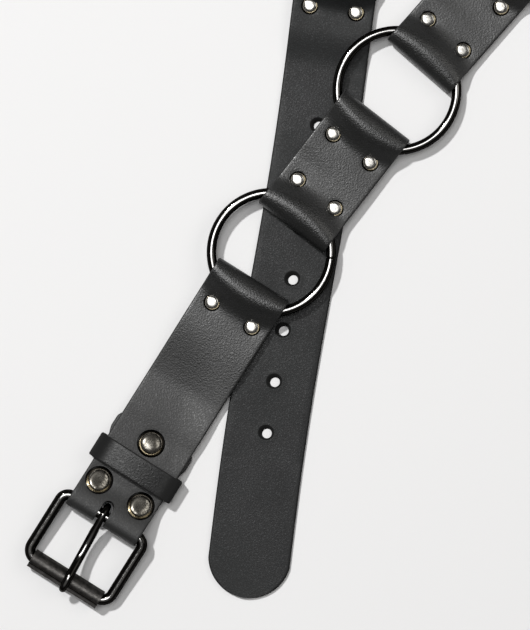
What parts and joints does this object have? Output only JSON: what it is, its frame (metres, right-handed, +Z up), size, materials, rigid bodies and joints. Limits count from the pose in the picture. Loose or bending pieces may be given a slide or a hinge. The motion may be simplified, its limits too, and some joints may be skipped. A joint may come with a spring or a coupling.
{
  "type": "harness belt with ring links",
  "caption": "Black leather harness belt of short riveted links joined by round metal rings, with a roller buckle on one end and a punched strap on the other.",
  "frame": {"origin": "under the middle of the belt's box as it lies, on the surface that it rests on", "axes": "+Z up from the surface, +Y along the belt's longer side as it lies, from the punched tip towards the loop of links, +X to the right seen from above"},
  "size_m": [0.3172, 0.5002, 0.0133],
  "materials": {
    "black_leather": "black grained leather with a semi-matt finish and dark burnished edges",
    "gunmetal": "polished dark gunmetal plate",
    "roller_steel": "dark rolled sheet, scuffed, with an open seam",
    "rivet_nickel": "aged nickel, mottled and a little brown towards the rim"
  },
  "bodies": {
    "belt": {"tail_strap": "black_leather", "tail_rivet_1": "rivet_nickel", "tail_rivet_2": "rivet_nickel", "buckle_strap": "black_leather", "buckle_strap_small_rivet_1": "rivet_nickel", "buckle_strap_small_rivet_2": "rivet_nickel", "buckle_strap_large_rivet_3": "rivet_nickel", "buckle_strap_large_rivet_4": "rivet_nickel", "buckle_strap_large_rivet_5": "rivet_nickel", "keeper": "black_leather", "buckle_frame": "gunmetal", "ring_1": "gunmetal", "ring_2": "gunmetal", "ring_3": "gunmetal", "ring_4": "gunmetal", "ring_5": "gunmetal", "ring_6": "gunmetal", "ring_7": "gunmetal", "ring_8": "gunmetal", "link_a": "black_leather", "link_b": "black_leather", "link_c": "black_leather", "link_d": "black_leather", "link_e": "black_leather", "link_f": "black_leather", "link_g": "black_leather", "link_a_rivet_1": "rivet_nickel", "link_a_rivet_2": "rivet_nickel", "link_a_rivet_3": "rivet_nickel", "link_a_rivet_4": "rivet_nickel", "link_b_rivet_1": "rivet_nickel", "link_b_rivet_2": "rivet_nickel", "link_b_rivet_3": "rivet_nickel", "link_b_rivet_4": "rivet_nickel", "link_c_rivet_1": "rivet_nickel", "link_c_rivet_2": "rivet_nickel", "link_c_rivet_3": "rivet_nickel", "link_c_rivet_4": "rivet_nickel", "link_d_rivet_1": "rivet_nickel", "link_d_rivet_2": "rivet_nickel", "link_d_rivet_3": "rivet_nickel", "link_d_rivet_4": "rivet_nickel", "link_e_rivet_1": "rivet_nickel", "link_e_rivet_2": "rivet_nickel", "link_e_rivet_3": "rivet_nickel", "link_e_rivet_4": "rivet_nickel", "link_f_rivet_1": "rivet_nickel", "link_f_rivet_2": "rivet_nickel", "link_f_rivet_3": "rivet_nickel", "link_f_rivet_4": "rivet_nickel", "link_g_rivet_1": "rivet_nickel", "link_g_rivet_2": "rivet_nickel", "link_g_rivet_3": "rivet_nickel", "link_g_rivet_4": "rivet_nickel"},
    "roller": {"buckle_roller": "roller_steel"},
    "tongue": {"buckle_tongue": "gunmetal"}
  },
  "joints": [
    {"name": "tongue_pivot", "type": "hinge", "parent": "belt", "child": "tongue", "pos_m": [-0.12159, -0.20741, 0.0068], "axis": [-0.8465, 0.5324, 0], "range_deg": [0, 115]},
    {"name": "roller_spin", "type": "hinge", "parent": "belt", "child": "roller", "pos_m": [-0.13976, -0.2363, 0.0046], "axis": [-0.8465, 0.5324, 0], "continuous": true}
  ]
}
